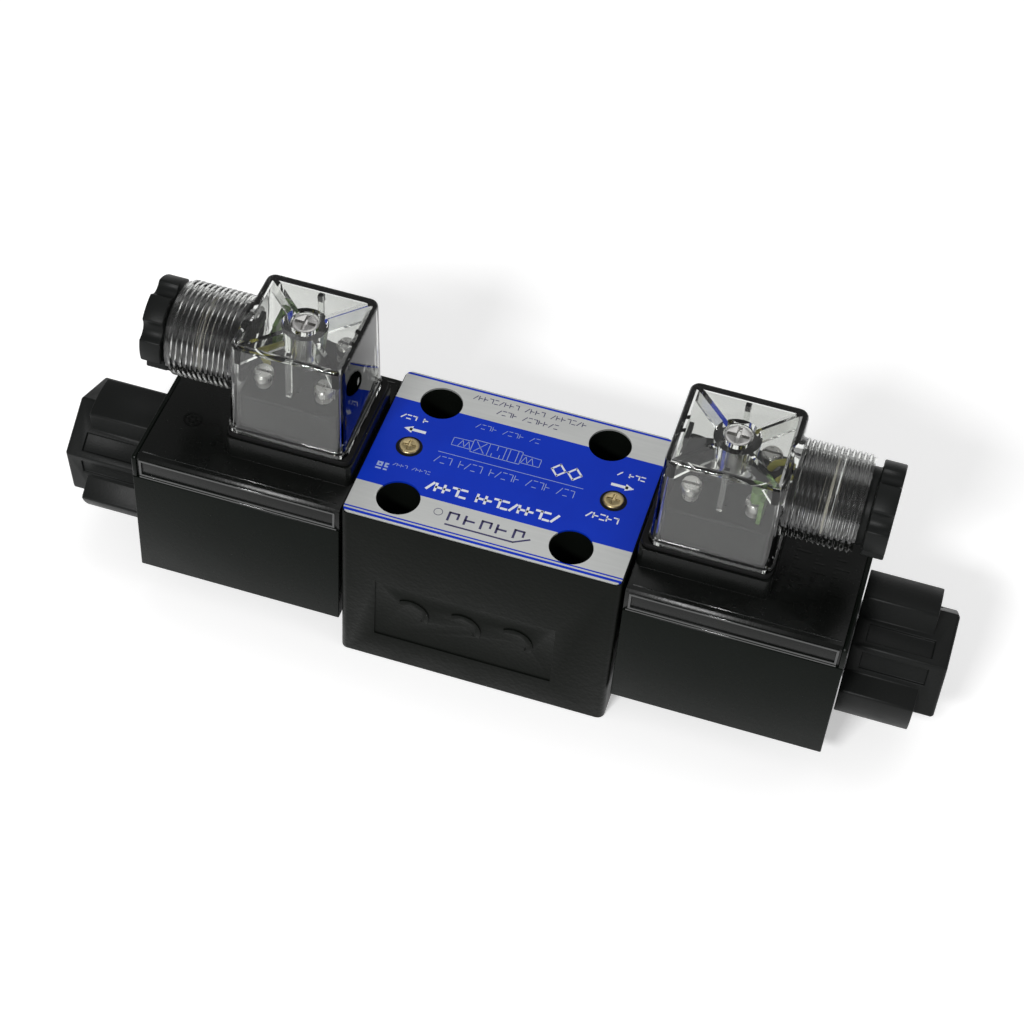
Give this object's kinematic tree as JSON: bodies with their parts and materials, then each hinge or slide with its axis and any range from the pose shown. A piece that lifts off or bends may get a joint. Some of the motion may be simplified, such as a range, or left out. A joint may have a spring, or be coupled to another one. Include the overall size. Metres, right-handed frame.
{
  "type": "solenoid directional valve",
  "caption": "Sliding-spool hydraulic directional valve for a subplate, with a solenoid coil, lock nut and clear plug connector at each end.",
  "frame": {"origin": "centre of the mounting face, under the middle of the port pattern", "axes": "+X along the spool towards solenoid a, +Y towards port P, +Z from the mounting face up to the nameplate"},
  "size_m": [0.2104, 0.0466, 0.0803],
  "materials": {
    "cast_black": "semi-gloss black paint over fine sand casting",
    "printed_aluminium": "satin anodised with a blue printed band",
    "yellow_zinc": "yellow passivated zinc",
    "seal_rubber": "matt nitrile rubber",
    "ground_steel": "hardened and ground",
    "bright_steel": "turned steel",
    "spring_wire": "drawn spring wire",
    "coil_plastic": "moulded black thermoset, slightly glossy",
    "yoke_black": "gloss black electrocoat",
    "bobbin_plastic": "glass-filled nylon",
    "copper_wire": "enamelled copper winding",
    "nut_plastic": "black glass-filled nylon",
    "clear_plastic": "clear polycarbonate",
    "carrier_plastic": "dark grey nylon",
    "tinned_metal": "nickel plated",
    "board_laminate": "green circuit laminate"
  },
  "bodies": {
    "valve": {"valve_body": "cast_black", "nameplate": "printed_aluminium", "nameplate_screws": "yellow_zinc", "port_orings": "seal_rubber", "pole_piece_a": "bright_steel", "guide_tube_a": "bright_steel", "tube_end_plug_a": "bright_steel", "tube_oring_a": "seal_rubber", "centering_spring_a": "spring_wire", "pole_piece_b": "bright_steel", "guide_tube_b": "bright_steel", "tube_end_plug_b": "bright_steel", "tube_oring_b": "seal_rubber", "centering_spring_b": "spring_wire"},
    "spool": {"spool": "ground_steel", "spring_washer_a": "bright_steel", "spring_washer_b": "bright_steel"},
    "armature_a": {"armature_a": "bright_steel", "push_pin_a": "ground_steel"},
    "override_a": {"override_pin_a": "bright_steel"},
    "coil_a": {"coil_yoke_a": "yoke_black", "coil_end_plate_a": "yoke_black", "coil_case_a": "coil_plastic", "coil_bobbin_a": "bobbin_plastic", "coil_winding_a": "copper_wire", "coil_seals_a": "seal_rubber", "terminal_blades_a": "tinned_metal"},
    "lock_nut_a": {"lock_nut_a": "nut_plastic"},
    "plug_a": {"connector_gasket_a": "seal_rubber", "connector_housing_a": "clear_plastic", "terminal_carrier_a": "carrier_plastic", "terminal_screws_a": "tinned_metal", "led_board_a": "board_laminate", "connector_screw_a": "tinned_metal", "cable_seal_a": "seal_rubber", "gland_washer_a": "bobbin_plastic"},
    "gland_nut_a": {"gland_nut_a": "nut_plastic"},
    "armature_b": {"armature_b": "bright_steel", "push_pin_b": "ground_steel"},
    "override_b": {"override_pin_b": "bright_steel"},
    "coil_b": {"coil_yoke_b": "yoke_black", "coil_end_plate_b": "yoke_black", "coil_case_b": "coil_plastic", "coil_bobbin_b": "bobbin_plastic", "coil_winding_b": "copper_wire", "coil_seals_b": "seal_rubber", "terminal_blades_b": "tinned_metal"},
    "lock_nut_b": {"lock_nut_b": "nut_plastic"},
    "plug_b": {"connector_gasket_b": "seal_rubber", "connector_housing_b": "clear_plastic", "terminal_carrier_b": "carrier_plastic", "terminal_screws_b": "tinned_metal", "led_board_b": "board_laminate", "connector_screw_b": "tinned_metal", "cable_seal_b": "seal_rubber", "gland_washer_b": "bobbin_plastic"},
    "gland_nut_b": {"gland_nut_b": "nut_plastic"}
  },
  "joints": [
    {"name": "spool_slide", "type": "slide", "parent": "valve", "child": "spool", "axis": [1, 0, 0], "range_m": [-0.0028, 0.0028], "stiffness_N_per_m": 6000, "deforming": ["centering_spring_a", "centering_spring_b"]},
    {"name": "armature_a_slide", "type": "slide", "parent": "valve", "child": "armature_a", "axis": [1, 0, 0], "range_m": [-0.0028, 0.0028]},
    {"name": "override_a_push", "type": "slide", "parent": "valve", "child": "override_a", "axis": [-1, 0, 0], "range_m": [0, 0.0024], "stiffness_N_per_m": 400},
    {"name": "coil_a_turn", "type": "hinge", "parent": "valve", "child": "coil_a", "pos_m": [0.058, 0, 0.0245], "axis": [1, 0, 0], "range_deg": [-90, 90]},
    {"name": "lock_nut_a_spin", "type": "hinge", "parent": "valve", "child": "lock_nut_a", "pos_m": [0.093, 0, 0.0245], "axis": [1, 0, 0], "continuous": true},
    {"name": "plug_a_lift", "type": "slide", "parent": "coil_a", "child": "plug_a", "axis": [0, 0, 1], "range_m": [0, 0.02]},
    {"name": "gland_nut_a_spin", "type": "hinge", "parent": "plug_a", "child": "gland_nut_a", "pos_m": [0.082, 0, 0.069], "axis": [1, 0, 0], "continuous": true},
    {"name": "armature_b_slide", "type": "slide", "parent": "valve", "child": "armature_b", "axis": [1, 0, 0], "range_m": [-0.0028, 0.0028]},
    {"name": "override_b_push", "type": "slide", "parent": "valve", "child": "override_b", "axis": [1, 0, 0], "range_m": [0, 0.0024], "stiffness_N_per_m": 400},
    {"name": "coil_b_turn", "type": "hinge", "parent": "valve", "child": "coil_b", "pos_m": [-0.058, 0, 0.0245], "axis": [1, 0, 0], "range_deg": [-90, 90]},
    {"name": "lock_nut_b_spin", "type": "hinge", "parent": "valve", "child": "lock_nut_b", "pos_m": [-0.093, 0, 0.0245], "axis": [-1, 0, 0], "continuous": true},
    {"name": "plug_b_lift", "type": "slide", "parent": "coil_b", "child": "plug_b", "axis": [0, 0, 1], "range_m": [0, 0.02]},
    {"name": "gland_nut_b_spin", "type": "hinge", "parent": "plug_b", "child": "gland_nut_b", "pos_m": [-0.082, 0, 0.069], "axis": [-1, 0, 0], "continuous": true}
  ],
  "couplings": [
    {"joint": "armature_a_slide", "follows": "spool_slide", "ratio": 1},
    {"joint": "armature_b_slide", "follows": "spool_slide", "ratio": 1}
  ]
}
